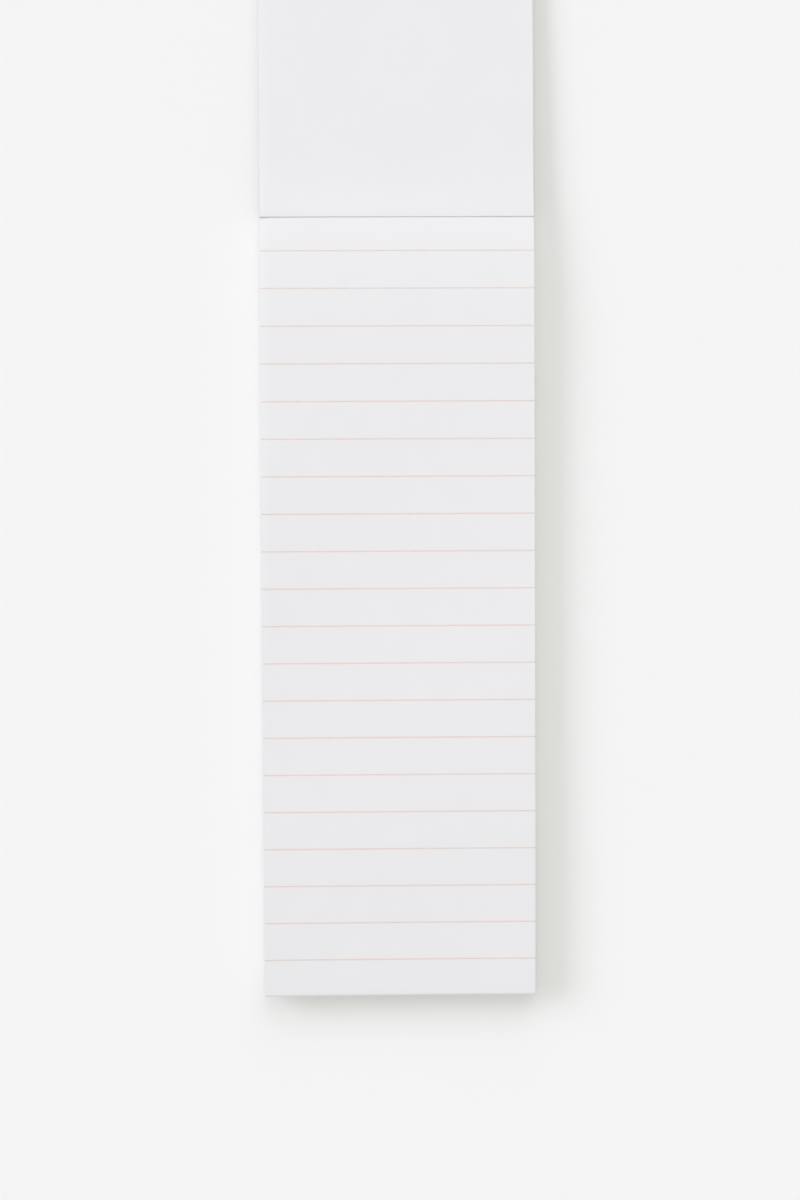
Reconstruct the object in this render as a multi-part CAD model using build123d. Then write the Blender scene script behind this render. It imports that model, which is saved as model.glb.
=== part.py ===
from build123d import *
import os
from math import cos, radians, sin

os.makedirs("parts", exist_ok=True)

# A slim list pad, glued along its head into a folded card cover and lying open on a table.
# X runs across the pad, Y along it and Z up from the table.
# The crease that the front cover turns on lies straight above the origin, along X.
# The sheets lie on the -Y side of it, and the open cover on the +Y side.

# Plan of a sheet, and the front cover's length from its crease, which brings it level with the sheets' tail
sheet_width = 73.0
sheet_length = 208.8
cover_length = 209.2

# Thickness of the flat materials
card_thickness = 0.3
board_thickness = 1.0
glue_thickness = 0.15

# Height of the stack: pinched at the glued head, swollen behind it, settled, loose again, lower at the tail
stack_at_head = 5.4
stack_at_swell = 7.0
stack_at_middle = 6.3
stack_at_loose = 7.25
stack_at_tail = 6.9
swell_share = 0.15
middle_share = 0.5
loose_share = 0.8

# Slope, in degrees, at which the top sheet climbs out of the gutter
gutter_slope = 9.0

# At the head the glue ends below the top sheet, the spine strip ends level with it,
# and the crease of the front cover turns just clear of the strip
glue_setback = 0.05
crease_gap = 0.05

# The open cover leaves its crease at a slope, in degrees, eases off where the crease has sprung it,
# and sags on until it meets the table
crease_slope = 10.0
spring_drop = 1.8
spring_share = 0.12
touchdown_share = 0.9

# Heights, from the table up
board_bottom_z = card_thickness
sheets_bottom_z = board_bottom_z + board_thickness
head_top_z = sheets_bottom_z + stack_at_head
crease_radius = card_thickness / 2
crease_z = head_top_z + crease_gap + crease_radius

# Places along the pad, from the crease
spine_inner_y = -card_thickness / 2
spine_outer_y = card_thickness / 2
head_y = spine_inner_y - glue_thickness
tail_y = head_y - sheet_length


def across_pad(outline):
    """Carry a closed outline, drawn along the pad, over the pad's whole width."""
    return extrude(Plane.YZ * make_face(outline), amount=sheet_width / 2, both=True)


def slab(from_y, to_y, from_z, to_z):
    """Square-cut piece as wide as the pad."""
    return across_pad(Polyline((from_y, from_z), (to_y, from_z), (to_y, to_z), (from_y, to_z), close=True))


def make_page_block():
    """All the sheets as one solid, with a top that dips into the gutter and waves a little."""
    swell_y = head_y - swell_share * sheet_length
    middle_y = head_y - middle_share * sheet_length
    loose_y = head_y - loose_share * sheet_length
    tail_top_z = sheets_bottom_z + stack_at_tail
    climb = radians(gutter_slope)
    top = Spline(
        (head_y, head_top_z),
        (swell_y, sheets_bottom_z + stack_at_swell),
        (middle_y, sheets_bottom_z + stack_at_middle),
        (loose_y, sheets_bottom_z + stack_at_loose),
        (tail_y, tail_top_z),
        tangents=((-cos(climb), sin(climb)), (tail_y - loose_y, stack_at_tail - stack_at_loose)),
    )
    edges = Polyline(
        (tail_y, tail_top_z),
        (tail_y, sheets_bottom_z),
        (head_y, sheets_bottom_z),
        (head_y, head_top_z),
    )
    return across_pad(top + edges)


def make_backing_board():
    """Stiff board under the last sheet."""
    return slab(tail_y, head_y, board_bottom_z, sheets_bottom_z)


def make_binding_glue():
    """Strip of adhesive between the head of the stack and the spine strip."""
    return slab(head_y, spine_inner_y, board_bottom_z + glue_thickness, head_top_z - glue_setback)


def make_back_cover():
    """Card under the pad, turned up round the glue into the spine strip."""
    fold_y = head_y
    fold_z = board_bottom_z + glue_thickness
    outer_fold = CenterArc((fold_y, fold_z), glue_thickness + card_thickness, 270, 90)
    inner_fold = CenterArc((fold_y, fold_z), glue_thickness, 270, 90)
    spine_strip = Polyline(
        (spine_outer_y, fold_z),
        (spine_outer_y, head_top_z),
        (spine_inner_y, head_top_z),
        (spine_inner_y, fold_z),
    )
    panel = Polyline((fold_y, board_bottom_z), (tail_y, board_bottom_z), (tail_y, 0), (fold_y, 0))
    return across_pad(panel + outer_fold + spine_strip + inner_fold)


def make_front_cover():
    """Card leaf with a rounded crease, hanging in its own curve down to the table."""
    spring_y = spring_share * cover_length
    touchdown_y = touchdown_share * cover_length
    drop = crease_z - crease_radius
    fall = radians(crease_slope)

    def sag(lift):
        # One face of the leaf, from the crease to where it comes to lie flat
        return Spline(
            (0, drop + lift),
            (spring_y, drop - spring_drop + lift),
            (touchdown_y, lift),
            tangents=((cos(fall), -sin(fall)), (1, 0)),
        )

    crease = CenterArc((0, crease_z), crease_radius, 90, 180)
    flat_end = Polyline(
        (touchdown_y, 0),
        (cover_length, 0),
        (cover_length, card_thickness),
        (touchdown_y, card_thickness),
    )
    return across_pad(crease + sag(0) + flat_end + sag(card_thickness))


pieces = {
    "page_block": make_page_block(),
    "binding_glue": make_binding_glue(),
    "backing_board": make_backing_board(),
    "back_cover": make_back_cover(),
    "front_cover": make_front_cover(),
}

for name, solid in pieces.items():
    export_step(solid, f"parts/{name}.step")
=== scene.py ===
import math
import random
from bisect import bisect_right

import bpy
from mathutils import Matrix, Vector


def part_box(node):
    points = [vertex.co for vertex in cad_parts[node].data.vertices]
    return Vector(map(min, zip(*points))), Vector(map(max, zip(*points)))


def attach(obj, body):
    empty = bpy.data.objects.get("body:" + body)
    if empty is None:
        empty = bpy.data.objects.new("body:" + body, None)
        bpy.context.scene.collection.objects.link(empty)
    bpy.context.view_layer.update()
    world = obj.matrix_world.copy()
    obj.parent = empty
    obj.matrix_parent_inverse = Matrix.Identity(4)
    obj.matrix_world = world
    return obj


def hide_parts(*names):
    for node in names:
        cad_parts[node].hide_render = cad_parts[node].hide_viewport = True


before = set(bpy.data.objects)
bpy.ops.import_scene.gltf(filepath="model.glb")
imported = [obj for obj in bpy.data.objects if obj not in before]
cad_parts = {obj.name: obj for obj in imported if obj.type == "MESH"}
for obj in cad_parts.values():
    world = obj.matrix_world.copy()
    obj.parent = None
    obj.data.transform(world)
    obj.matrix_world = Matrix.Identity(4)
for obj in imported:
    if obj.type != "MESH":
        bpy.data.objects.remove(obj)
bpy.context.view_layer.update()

MM = 0.001

# One seed for every random draw
SEED = 7
draw = random.Random(SEED)

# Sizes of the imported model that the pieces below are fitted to
page_low, page_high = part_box("page_block")
_, cover_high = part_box("front_cover")
board_low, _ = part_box("backing_board")
head_y = page_high.y
tail_y = page_low.y
half_width = page_high.x
sheet_length = head_y - tail_y
card_thickness = board_low.z

# How close a corner lies to count as on an edge, and the decimals of a metre that tell corners apart
EDGE_TOLERANCE = 0.001 * MM
CORNER_DIGITS = 6

# How far a level face's normal rises at least, and the angle past which an edge is sharp
LEVEL_NORMAL = 0.5
SHARP_ANGLE = math.radians(35)

# Sheets of the pad, and how finely they are divided across and along
SHEET_COUNT = 56
SHEET_THICKNESS = 0.095 * MM
SHEET_COLUMNS = 4
SHEET_STATIONS = 44
TOP_SHEET_COLUMNS = 16
TOP_SHEET_STATIONS = 112

# How far a sheet slips at its free end, and the weights drawn for the gaps between sheets
SHEET_SLIP = 0.10 * MM
GAP_WEIGHTS = (0.25, 0.25, 0.35, 0.5, 2.4)

# How the cut edges are pressed down: how far in and how deep, at the left over a share of the sheet's length
HEAD_ROLL = (0.35 * MM, 0.02 * MM)
TAIL_ROLL = (0.60 * MM, 0.22 * MM)
RIGHT_ROLL = (0.60 * MM, 0.16 * MM)
LEFT_ROLL = (2.50 * MM, 0.20 * MM)
LEFT_ROLL_SHARE = 0.65
COVER_ROLL = (3.00 * MM, 0.14 * MM)
ROLL_STEPS = 5

# How far the first sheet's long edges lift, and the shares of its length between which they do
CUP = 0.60 * MM
CUP_START_SHARE, CUP_END_SHARE = 0.2, 0.75

# How far its tail corners curl, over which shares of its length and half width, and the left one's share
CORNER_CURL = 0.45 * MM
CURL_LENGTH_SHARE, CURL_WIDTH_SHARE = 0.3, 0.65
LEFT_CURL_SHARE = 0.6

# How far its head swells between the corners and reaches over the glue
HEAD_CROWN = 0.07 * MM
HEAD_REACH = 0.09 * MM

# How far the loose sheets' head corners draw back from the glue, and how soon all shaping of the head fades
DRAW_BACK_LEFT, DRAW_BACK_RIGHT = 0.065 * MM, 0.025 * MM
HEAD_FADE = 10.0 * MM

# Printed rules
RULE_COUNT = 20
RULE_PITCH = 10.0 * MM
FIRST_RULE = 8.885 * MM
RULE_WIDTH = 0.34 * MM
INK_THICKNESS = 0.01 * MM

# Open front cover: its crease stands out towards the sheets and keeps the left edge near it from drooping
COVER_STATIONS = 72
COVER_COLUMNS = 12
CREASE_NOSE = 0.19 * MM
CREASE_STEPS = 7
CREASE_HOLD = 10.0 * MM

# Camera, fitted to the photo's page corners and rules: turn in degrees, lens and sensor in millimetres
CAMERA_PLACE = Vector((-14.33, -70.85, 649.73)) * MM
CAMERA_TURN = (-2.796, -1.321, -0.291)
CAMERA_LENS = 72.0
SENSOR_LONG_SIDE = 36.0
CAMERA_NEAR = 10.0 * MM

# Table, from its middle to its sides
TABLE_REACH = 3000.0 * MM

# Light: direction towards each lamp, how wide it looks in degrees, its share of the table's light, its tint
DAYLIGHT = (0.96, 0.96, 1.08)
ROOM_LIGHT = (1.023, 1.023, 0.954)
LAMPS = {
    "window": ((-0.76, 0.38, 0.53), 30.0, 0.150, DAYLIGHT),
    "side_window": ((-0.85, 0.05, 0.53), 30.0, 0.070, DAYLIGHT),
    "sky": ((0.0, 0.77, 0.64), 50.0, 0.145, DAYLIGHT),
    "ceiling": ((0.0, 0.0, 1.0), 16.0, 0.285, ROOM_LIGHT),
    "reflector": ((0.72, 0.30, 0.63), 70.0, 0.030, ROOM_LIGHT),
}
ROOM_SHARE = 0.32

# Colours, linear
PAPER = (0.841, 0.841, 0.862)
# The cut edges are greyer than the face: partly the paper's own edge tone, partly painted shade of light
# lost in the gaps between leaves
PAPER_EDGE = (0.730, 0.728, 0.734)
CARD = (0.826, 0.823, 0.842)
INK = (0.752, 0.636, 0.579)
BOARD = (0.420, 0.400, 0.370)
GLUE = (0.800, 0.790, 0.780)
TABLE = (0.913, 0.913, 0.913)

# Painted shade: the share of its tone that the sheet and its ink keep at the tail, channel by channel,
# darkening them towards the tail in place of light that falls off along the pad
PAPER_PAINTED_SHADE_AT_TAIL = (0.965, 0.961, 0.959)
INK_PAINTED_SHADE_AT_TAIL = (0.970, 0.941, 0.939)

# How wide the marks in each material are
PAPER_CLOUD = 9.0 * MM
PAPER_FIBRE = 0.22 * MM
PAPER_TOOTH = 0.09 * MM
EDGE_FRAY = 0.15 * MM
EDGE_LEAF_GAP_SHADE = 0.20 * MM
EDGE_BUNCH_GAP_SHADE = 0.70 * MM
CARD_CLOUD = 16.0 * MM
CARD_FIBRE = 0.30 * MM
INK_MOTTLE = 0.50 * MM
BOARD_DARK_FIBRE = 0.50 * MM
BOARD_PALE_FIBRE = 0.35 * MM
GLUE_STROKE = 0.40 * MM
TABLE_CLOUD = 60.0 * MM

# How deep those marks are that stand out of the surface
PAPER_FIBRE_DEPTH = 0.006 * MM
PAPER_TOOTH_DEPTH = 0.004 * MM
EDGE_FRAY_DEPTH = 0.010 * MM
CARD_FIBRE_DEPTH = 0.006 * MM
BOARD_FIBRE_DEPTH = 0.020 * MM
GLUE_STROKE_DEPTH = 0.030 * MM

# Roughness of every noise, and the span that holds most of its values
NOISE_ROUGHNESS = 0.55
NOISE_LOW, NOISE_HIGH = 0.3, 0.7


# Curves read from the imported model
def side_profile(node, from_y, to_y):
    """Points (y, z) along a node's right-hand edge where its upper face ends, in order of y."""
    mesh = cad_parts[node].data
    least_x = half_width - EDGE_TOLERANCE
    least_y, most_y = from_y - EDGE_TOLERANCE, to_y + EDGE_TOLERANCE
    points = {}
    for polygon in mesh.polygons:
        if polygon.normal.z < LEVEL_NORMAL:
            continue
        for index in polygon.vertices:
            place = mesh.vertices[index].co
            if place.x > least_x and least_y < place.y < most_y:
                points[round(place.y, CORNER_DIGITS)] = place.z
    return sorted(points.items())


def smooth_height(points, y):
    """Height of a smooth curve through the points at y, by cubic interpolation."""
    last = len(points) - 1

    def slope(i):
        before, after = points[max(i - 1, 0)], points[min(i + 1, last)]
        return (after[1] - before[1]) / (after[0] - before[0])

    i = min(max(bisect_right(points, (y, math.inf)) - 1, 0), last - 1)
    (y0, z0), (y1, z1) = points[i], points[i + 1]
    span = y1 - y0
    t = min(max((y - y0) / span, 0.0), 1.0)
    rise = z1 - z0
    bend_in, bend_out = slope(i) * span - rise, rise - slope(i + 1) * span
    return z0 + rise * t + t * (1 - t) * ((1 - t) * bend_in + t * bend_out)


stack_top = side_profile("page_block", tail_y, head_y)
cover_top = side_profile("front_cover", 0.0, cover_high.y)


def stack_height(y):
    """Height of the pile of sheets at y."""
    return smooth_height(stack_top, y) - page_low.z


# Mesh helpers
def closed_sheet(columns, stations, lower, upper):
    """Vertices and faces of a closed leaf between two height functions of (x, y), over a grid of places."""
    wide, long = len(columns), len(stations)
    vertices = [(x, y, lower(x, y)) for y in stations for x in columns]
    vertices += [(x, y, upper(x, y)) for y in stations for x in columns]
    over = wide * long
    faces = []
    for j in range(long - 1):
        for i in range(wide - 1):
            a, b = j * wide + i, (j + 1) * wide + i
            faces.append((a, b, b + 1, a + 1))
            faces.append((over + a, over + a + 1, over + b + 1, over + b))
    rim = list(range(wide - 1))
    rim += [j * wide + wide - 1 for j in range(long - 1)]
    rim += [over - 1 - i for i in range(wide - 1)]
    rim += [(long - 1 - j) * wide for j in range(long - 1)]
    for a, b in zip(rim, rim[1:] + rim[:1]):
        faces.append((a, b, over + b, over + a))
    return vertices, faces


def add_piece(name, parts, body, materials):
    """One mesh object of several closed parts, riding on a body. Its cut edges take the last material."""
    vertices, faces = [], []
    for part_vertices, part_faces in parts:
        start = len(vertices)
        vertices += part_vertices
        faces += [tuple(start + k for k in face) for face in part_faces]
    mesh = bpy.data.meshes.new(name)
    mesh.from_pydata(vertices, [], faces)
    for material in materials:
        mesh.materials.append(material)
    for polygon in mesh.polygons:
        polygon.use_smooth = True
        upright = abs(polygon.normal.z) < LEVEL_NORMAL
        polygon.material_index = len(materials) - 1 if upright else 0
    mesh.set_sharp_from_angle(angle=SHARP_ANGLE)
    piece = bpy.data.objects.new(name, mesh)
    bpy.context.scene.collection.objects.link(piece)
    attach(piece, body)
    return piece


def spread(start, end, steps):
    """Evenly spaced places from start to end."""
    return [start + (end - start) * i / steps for i in range(steps + 1)]


# Materials
class Look:
    """A principled material with short calls for the nodes that it is built from."""

    def __init__(self, name, colour, roughness, specular):
        self.material = bpy.data.materials.new(name)
        self.material.use_nodes = True
        self.tree = self.material.node_tree
        self.shader = self.tree.nodes["Principled BSDF"]
        self.shader.inputs["Base Color"].default_value = (*colour, 1.0)
        self.shader.inputs["Roughness"].default_value = roughness
        self.shader.inputs["Specular IOR Level"].default_value = specular
        self.colour = colour
        self.place = self.tree.nodes.new("ShaderNodeTexCoord").outputs["Object"]

    def join(self, source, target):
        """Link an output to an input."""
        self.tree.links.new(source, target)

    def noise(self, size, detail=3.0, stretch=(1.0, 1.0, 1.0)):
        """Noise whose features are about size metres across, drawn out along an axis by stretch."""
        scale = self.tree.nodes.new("ShaderNodeMapping")
        scale.inputs["Scale"].default_value = tuple(1.0 / (size * s) for s in stretch)
        self.join(self.place, scale.inputs["Vector"])
        noise = self.tree.nodes.new("ShaderNodeTexNoise")
        noise.inputs["Scale"].default_value = 1.0
        noise.inputs["Detail"].default_value = detail
        noise.inputs["Roughness"].default_value = NOISE_ROUGHNESS
        self.join(scale.outputs["Vector"], noise.inputs["Vector"])
        return noise.outputs["Fac"]

    def between(self, factor, low, high, start=NOISE_LOW, end=NOISE_HIGH):
        """Map a factor from start..end to low..high."""
        ranged = self.tree.nodes.new("ShaderNodeMapRange")
        ranged.inputs["From Min"].default_value = start
        ranged.inputs["From Max"].default_value = end
        ranged.inputs["To Min"].default_value = low
        ranged.inputs["To Max"].default_value = high
        self.join(factor, ranged.inputs["Value"])
        return ranged.outputs["Result"]

    def shade(self, current, factor, colour, strength, start=NOISE_LOW, end=NOISE_HIGH, blend="MIX"):
        """Mix a colour over the current one, or over the base colour where current is None.

        The share of the mix is the strength, times how far the factor lies from start to end.
        """
        mix = self.tree.nodes.new("ShaderNodeMix")
        mix.data_type = "RGBA"
        mix.blend_type = blend
        self.join(self.between(factor, 0.0, strength, start, end), mix.inputs["Factor"])
        if current is None:
            mix.inputs["A"].default_value = (*self.colour, 1.0)
        else:
            self.join(current, mix.inputs["A"])
        mix.inputs["B"].default_value = (*colour, 1.0)
        return mix.outputs["Result"]

    def fade(self, current, kept):
        """Painted shade: darken the current colour evenly from the head to the tail, where each channel
        keeps a share.
        """
        split = self.tree.nodes.new("ShaderNodeSeparateXYZ")
        self.join(self.place, split.inputs["Vector"])
        return self.shade(current, split.outputs["Y"], kept, 1.0, head_y, tail_y, "MULTIPLY")

    def bump(self, height, depth, previous=None):
        """Normals of a surface raised by a height from 0 to 1 times the depth, on top of a previous bump."""
        node = self.tree.nodes.new("ShaderNodeBump")
        node.inputs["Strength"].default_value = 1.0
        node.inputs["Distance"].default_value = depth
        self.join(height, node.inputs["Height"])
        if previous is not None:
            self.join(previous, node.inputs["Normal"])
        return node.outputs["Normal"]

    def finish(self, colour=None, roughness=None, normal=None):
        """Link what is given to the shader, and give back the material."""
        for name, source in (("Base Color", colour), ("Roughness", roughness), ("Normal", normal)):
            if source is not None:
                self.join(source, self.shader.inputs[name])
        return self.material


def tint(colour, factor):
    """A colour made paler or darker by a factor."""
    return tuple(channel * factor for channel in colour)


def paper_look():
    """Uncoated writing paper: cloudy formation, short fibres, a faint tooth, and painted shade that greys it
    towards the tail.
    """
    look = Look("paper", PAPER, roughness=0.85, specular=0.25)
    cloud = look.noise(PAPER_CLOUD, detail=2.0)
    fibre = look.noise(PAPER_FIBRE, stretch=(1.0, 3.0, 1.0))
    tooth = look.noise(PAPER_TOOTH, detail=2.0)
    colour = look.shade(None, cloud, tint(PAPER, 0.985), strength=1.0)
    colour = look.shade(colour, fibre, tint(PAPER, 1.02), strength=0.6)
    # Painted shade: the sheet greys towards the tail in place of light falling off along the pad
    colour = look.fade(colour, PAPER_PAINTED_SHADE_AT_TAIL)
    normal = look.bump(tooth, PAPER_TOOTH_DEPTH, look.bump(fibre, PAPER_FIBRE_DEPTH))
    return look.finish(colour, look.between(fibre, low=0.80, high=0.92), normal)


def edge_look():
    """Cut edges of the sheets: fibre ends, and long darker bands of painted shade where gaps open between
    leaves that lie looser, singly and in bunches.
    """
    look = Look("paper_edge", PAPER_EDGE, roughness=0.95, specular=0.1)
    fray = look.noise(EDGE_FRAY, stretch=(4.0, 4.0, 1.0))
    leaf = look.noise(EDGE_LEAF_GAP_SHADE, stretch=(150.0, 150.0, 1.0))
    bunch = look.noise(EDGE_BUNCH_GAP_SHADE, detail=2.0, stretch=(90.0, 90.0, 1.0))
    colour = look.shade(None, fray, tint(PAPER_EDGE, 0.92), strength=1.0)
    # Painted shade: thin dark bands for the gaps between single leaves, and wider ones for the gaps between
    # bunches
    colour = look.shade(colour, leaf, tint(PAPER_EDGE, 0.70), strength=0.7, start=0.45, end=0.75)
    colour = look.shade(colour, bunch, tint(PAPER_EDGE, 0.80), strength=0.6, start=0.4, end=0.7)
    roughness = look.between(fray, low=0.9, high=1.0)
    return look.finish(colour, roughness, look.bump(fray, EDGE_FRAY_DEPTH))


def card_look():
    """Uncoated white card: a smoother face than the sheets, with a wider cloud."""
    look = Look("cover_card", CARD, roughness=0.75, specular=0.3)
    cloud = look.noise(CARD_CLOUD, detail=2.0)
    fibre = look.noise(CARD_FIBRE, stretch=(1.0, 4.0, 1.0))
    colour = look.shade(None, cloud, tint(CARD, 0.985), strength=1.0)
    colour = look.shade(colour, fibre, tint(CARD, 1.015), strength=0.6)
    roughness = look.between(fibre, low=0.68, high=0.82)
    return look.finish(colour, roughness, look.bump(fibre, CARD_FIBRE_DEPTH))


def ink_look():
    """Pale peach printing ink, uneven where the paper took more or less of it, with painted shade towards
    the tail.
    """
    look = Look("rule_ink", INK, roughness=0.8, specular=0.25)
    take = look.noise(INK_MOTTLE, stretch=(3.0, 1.0, 1.0))
    colour = look.shade(None, take, tint(INK, 1.1), strength=1.0)
    # Painted shade: the ink darkens towards the tail like the sheet under it
    colour = look.fade(colour, INK_PAINTED_SHADE_AT_TAIL)
    return look.finish(colour, look.between(take, low=0.75, high=0.88))


def board_look():
    """Grey recycled board with darker and paler fibres."""
    look = Look("grey_board", BOARD, roughness=0.9, specular=0.2)
    dark = look.noise(BOARD_DARK_FIBRE, detail=4.0, stretch=(1.0, 3.0, 1.0))
    pale = look.noise(BOARD_PALE_FIBRE, stretch=(3.0, 1.0, 1.0))
    colour = look.shade(None, dark, tint(BOARD, 0.6), strength=0.8)
    colour = look.shade(colour, pale, tint(BOARD, 1.7), strength=0.4)
    roughness = look.between(dark, low=0.85, high=0.95)
    return look.finish(colour, roughness, look.bump(dark, BOARD_FIBRE_DEPTH))


def glue_look():
    """Dried padding glue: milky, a little shiny, brushed along the head."""
    look = Look("padding_glue", GLUE, roughness=0.45, specular=0.45)
    stroke = look.noise(GLUE_STROKE, stretch=(8.0, 1.0, 1.0))
    colour = look.shade(None, stroke, tint(GLUE, 0.85), strength=0.8)
    roughness = look.between(stroke, low=0.35, high=0.6)
    return look.finish(colour, roughness, look.bump(stroke, GLUE_STROKE_DEPTH))


def table_look():
    """Plain pale matt table."""
    look = Look("table", TABLE, roughness=1.0, specular=0.0)
    cloud = look.noise(TABLE_CLOUD, detail=2.0)
    return look.finish(look.shade(None, cloud, tint(TABLE, 0.997), strength=1.0))


paper = paper_look()
paper_edge = edge_look()
card = card_look()
ink = ink_look()


# Sheets
def slack_shares():
    """Share of the pile's spare height below each sheet: most lie close, some stand off in bunches."""
    gaps = [draw.choice(GAP_WEIGHTS) for _ in range(SHEET_COUNT)]
    total = sum(gaps)
    shares, below = [], 0.0
    for gap in gaps:
        below += gap
        shares.append(below / total)
    return shares


slack_under = slack_shares()


def pressed(inset, roll):
    """How far an edge is pressed down at a distance in from it."""
    reach, depth = roll
    return depth * max(0.0, 1.0 - inset / reach) ** 2


def headward(y):
    """From 1 at the head to 0 where the head's shaping has faded out."""
    return max(0.0, 1.0 - (head_y - y) / HEAD_FADE)


def bump_between(share, start, end):
    """Smooth hump from 0 at start through 1 in the middle to 0 at end."""
    t = (2 * share - start - end) / (end - start)
    return max(0.0, 1.0 - t * t) ** 2


def past_start(share, span):
    """From 0 to 1 over the last stretch, as long as the span, of a share that goes up to 1."""
    return max(0.0, share - (1.0 - span)) / span


def loose_lift(x, y):
    """How far the first sheet lifts: long edges at mid-length, corners at the tail, middle at the head."""
    share = (head_y - y) / sheet_length
    outward = abs(x) / half_width
    cup = CUP * bump_between(share, CUP_START_SHARE, CUP_END_SHARE) * outward ** 2
    side = 1.0 if x > 0 else LEFT_CURL_SHARE
    curled = past_start(share, CURL_LENGTH_SHARE) * past_start(outward, CURL_WIDTH_SHARE)
    curl = CORNER_CURL * side * curled ** 2
    crown = HEAD_CROWN * (1 - outward ** 4) * headward(y)
    return cup + curl + crown


def looseness(i):
    """How freely sheet i lies, from 0 in the lower half of the pile to 1 for the first sheet."""
    return max(0.0, 2 * i / (SHEET_COUNT - 1) - 1.0) ** 2


def head_shift(x, y, reach, loose):
    """How far a sheet's head moves towards the glue: by its reach, less what its corners draw back."""
    draw_back = reach + loose * (DRAW_BACK_RIGHT if x > 0 else DRAW_BACK_LEFT)
    return headward(y) * (reach - draw_back * (x / half_width) ** 4)


def sheet_floor(i):
    """Height of the underside of sheet i, counted from the bottom, as a function of (x, y)."""
    loose = looseness(i)

    def height(x, y):
        tailward = (head_y - y) / sheet_length
        rolled = pressed(head_y - y, HEAD_ROLL) + pressed(y - tail_y, TAIL_ROLL)
        rolled += pressed(half_width - x, RIGHT_ROLL) * tailward ** 3
        rolled += pressed(half_width + x, LEFT_ROLL) * max(0.0, 1.0 - (tailward / LEFT_ROLL_SHARE) ** 2)
        spare = max(0.0, stack_height(y) - SHEET_COUNT * SHEET_THICKNESS - rolled)
        lift = loose * loose_lift(x, y)
        return page_low.z + i * SHEET_THICKNESS + spare * slack_under[i] + lift

    return height


def raised(height, by):
    """A height function lifted by a fixed amount."""
    return lambda x, y: height(x, y) + by


def sheet_columns(steps):
    """Places across a sheet, closer together at its long edges."""
    left_inner, right_inner = LEFT_ROLL[0] - half_width, half_width - RIGHT_ROLL[0]
    left_end = spread(-half_width, left_inner, ROLL_STEPS)[:-1]
    right_end = spread(right_inner, half_width, ROLL_STEPS)[1:]
    return left_end + spread(left_inner, right_inner, steps) + right_end


def sheet_stations(steps):
    """Places along a sheet, closer together at its two ends."""
    tail_inner, head_inner = tail_y + TAIL_ROLL[0], head_y - HEAD_ROLL[0]
    tail_end = spread(tail_y, tail_inner, ROLL_STEPS)[:-1]
    head_end = spread(head_inner, head_y, ROLL_STEPS)[1:]
    return tail_end + spread(tail_inner, head_inner, steps) + head_end


def sheet_leaf(i, columns, stations, slip=0.0, short=0.0, reach=0.0):
    """Vertices and faces of sheet i, slipped and a little short at its free end, and shifted at its head."""
    floor = sheet_floor(i)
    top = raised(floor, SHEET_THICKNESS)
    vertices, faces = closed_sheet(sheet_columns(columns), sheet_stations(stations), floor, top)
    moved = []
    for x, y, z in vertices:
        free = (head_y - y) / sheet_length
        shift = head_shift(x, y, reach, looseness(i))
        moved.append((x + slip * free, y + short * free + shift, z))
    return moved, faces


def make_sheets():
    """Every sheet under the first, each slipped a little at its free end."""
    parts = []
    for i in range(SHEET_COUNT - 1):
        slip = draw.uniform(-1.0, 1.0) * SHEET_SLIP
        short = draw.uniform(0.0, 1.0) * SHEET_SLIP
        parts.append(sheet_leaf(i, SHEET_COLUMNS, SHEET_STATIONS, slip, short))
    piece = add_piece("sheets", parts, "pad", [paper, paper_edge])
    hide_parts("page_block")


def make_top_sheet():
    """The first sheet, whose face shows. It reaches over the glue, but its corners have drawn back."""
    leaf = sheet_leaf(SHEET_COUNT - 1, TOP_SHEET_COLUMNS, TOP_SHEET_STATIONS, reach=HEAD_REACH)
    piece = add_piece("top_sheet", [leaf], "pad", [paper, paper_edge])
    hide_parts("page_block")


def make_rules():
    """Printed rules that run off both edges of the first sheet."""
    face = raised(sheet_floor(SHEET_COUNT - 1), SHEET_THICKNESS)
    columns = sheet_columns(TOP_SHEET_COLUMNS)
    parts = []
    for k in range(RULE_COUNT):
        y = head_y - FIRST_RULE - k * RULE_PITCH
        stations = (y - RULE_WIDTH / 2, y + RULE_WIDTH / 2)
        parts.append(closed_sheet(columns, stations, face, raised(face, INK_THICKNESS)))
    add_piece("rules", parts, "pad", [ink])


# Front cover
def make_cover():
    """The open leaf of card: a pressed crease, then the curve it hangs in, then flat on the table."""
    half_card = card_thickness / 2

    def half_thickness(y):
        return half_card * math.sqrt(max(1.0 - (min(y, 0.0) / CREASE_NOSE) ** 2, 0.0))

    def middle(x, y):
        held = max(smooth_height(cover_top, max(y, 0.0)) - half_card, half_card)
        free = min(max(y, 0.0) / CREASE_HOLD, 1.0)
        return max(held - free * pressed(half_width + x, COVER_ROLL), half_card)

    inner = COVER_ROLL[0] - half_width
    columns = spread(-half_width, inner, ROLL_STEPS)[:-1] + spread(inner, half_width, COVER_COLUMNS)
    quarter_turn = spread(0.0, math.pi / 2, CREASE_STEPS)[1:-1]
    crease = [-CREASE_NOSE * math.cos(turn) for turn in quarter_turn]
    leaf = closed_sheet(
        columns,
        crease + spread(0.0, cover_high.y, COVER_STATIONS),
        lambda x, y: middle(x, y) - half_thickness(y),
        lambda x, y: middle(x, y) + half_thickness(y),
    )
    piece = add_piece("cover_leaf", [leaf], "cover", [card])
    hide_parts("front_cover")


def dress(node, material):
    """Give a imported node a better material."""
    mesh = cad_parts[node].data
    mesh.materials.clear()
    mesh.materials.append(material)


make_sheets()
make_top_sheet()
make_rules()
make_cover()
dress("back_cover", card)
dress("backing_board", board_look())
dress("binding_glue", glue_look())


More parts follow.
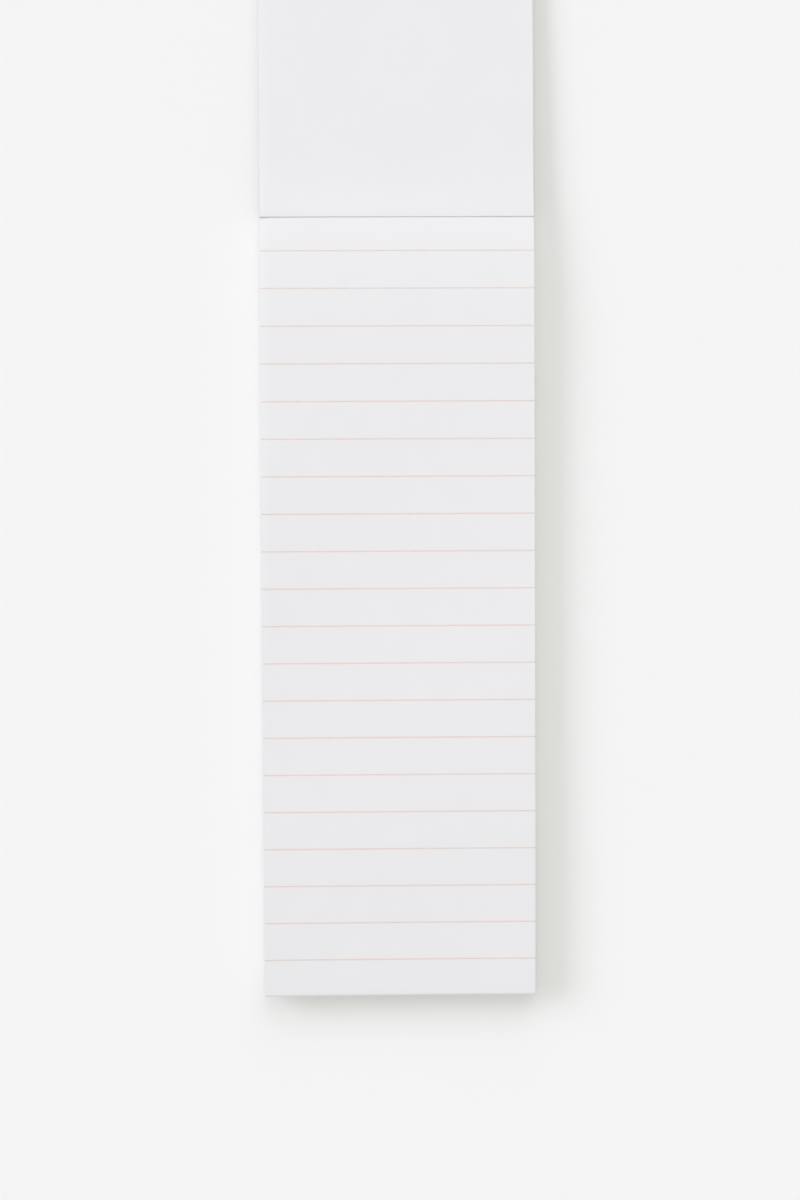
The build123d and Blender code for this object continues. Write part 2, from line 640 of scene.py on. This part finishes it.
# Table, light and camera
def make_table():
    """A level table top under the pad."""
    far = TABLE_REACH
    corners = [(-far, -far, 0.0), (far, -far, 0.0), (far, far, 0.0), (-far, far, 0.0)]
    mesh = bpy.data.meshes.new("table")
    mesh.from_pydata(corners, [], [(0, 1, 2, 3)])
    mesh.materials.append(table_look())
    table = bpy.data.objects.new("table", mesh)
    bpy.context.scene.collection.objects.link(table)


def make_lamps():
    """Distant soft lamps, each set so that it gives its share of the light on the table."""
    for name, (towards, angle, share, colour) in LAMPS.items():
        direction = Vector(towards).normalized()
        data = bpy.data.lights.new(name, "SUN")
        data.angle = math.radians(angle)
        data.energy = math.pi * share / direction.z
        data.color = colour
        lamp = bpy.data.objects.new(name, data)
        lamp.rotation_euler = direction.to_track_quat("Z", "Y").to_euler()
        bpy.context.scene.collection.objects.link(lamp)


def make_room():
    """Dim even light from all round, seen by the camera and in reflections as the table's pale tone."""
    world = bpy.data.worlds.new("room")
    world.use_nodes = True
    tree = world.node_tree
    out = tree.nodes["World Output"]
    lit = tree.nodes["Background"]
    lit.inputs["Color"].default_value = (*ROOM_LIGHT, 1.0)
    lit.inputs["Strength"].default_value = ROOM_SHARE
    seen = tree.nodes.new("ShaderNodeBackground")
    seen.inputs["Color"].default_value = (*TABLE, 1.0)
    path = tree.nodes.new("ShaderNodeLightPath")
    shows = path.outputs["Is Camera Ray"]
    for ray in ("Is Glossy Ray", "Is Transmission Ray"):
        either = tree.nodes.new("ShaderNodeMath")
        either.operation = "MAXIMUM"
        tree.links.new(shows, either.inputs[0])
        tree.links.new(path.outputs[ray], either.inputs[1])
        shows = either.outputs["Value"]
    mix = tree.nodes.new("ShaderNodeMixShader")
    tree.links.new(shows, mix.inputs["Fac"])
    tree.links.new(lit.outputs["Background"], mix.inputs[1])
    tree.links.new(seen.outputs["Background"], mix.inputs[2])
    tree.links.new(mix.outputs["Shader"], out.inputs["Surface"])
    bpy.context.scene.world = world


def make_camera():
    """The photo's camera, above the pad."""
    data = bpy.data.cameras.new("camera")
    data.lens = CAMERA_LENS
    data.sensor_width = SENSOR_LONG_SIDE
    data.clip_start = CAMERA_NEAR
    camera = bpy.data.objects.new("camera", data)
    camera.location = CAMERA_PLACE
    camera.rotation_euler = [math.radians(turn) for turn in CAMERA_TURN]
    bpy.context.scene.collection.objects.link(camera)
    bpy.context.scene.camera = camera


make_table()
make_lamps()
make_room()
make_camera()
bpy.context.scene.view_settings.view_transform = "Standard"
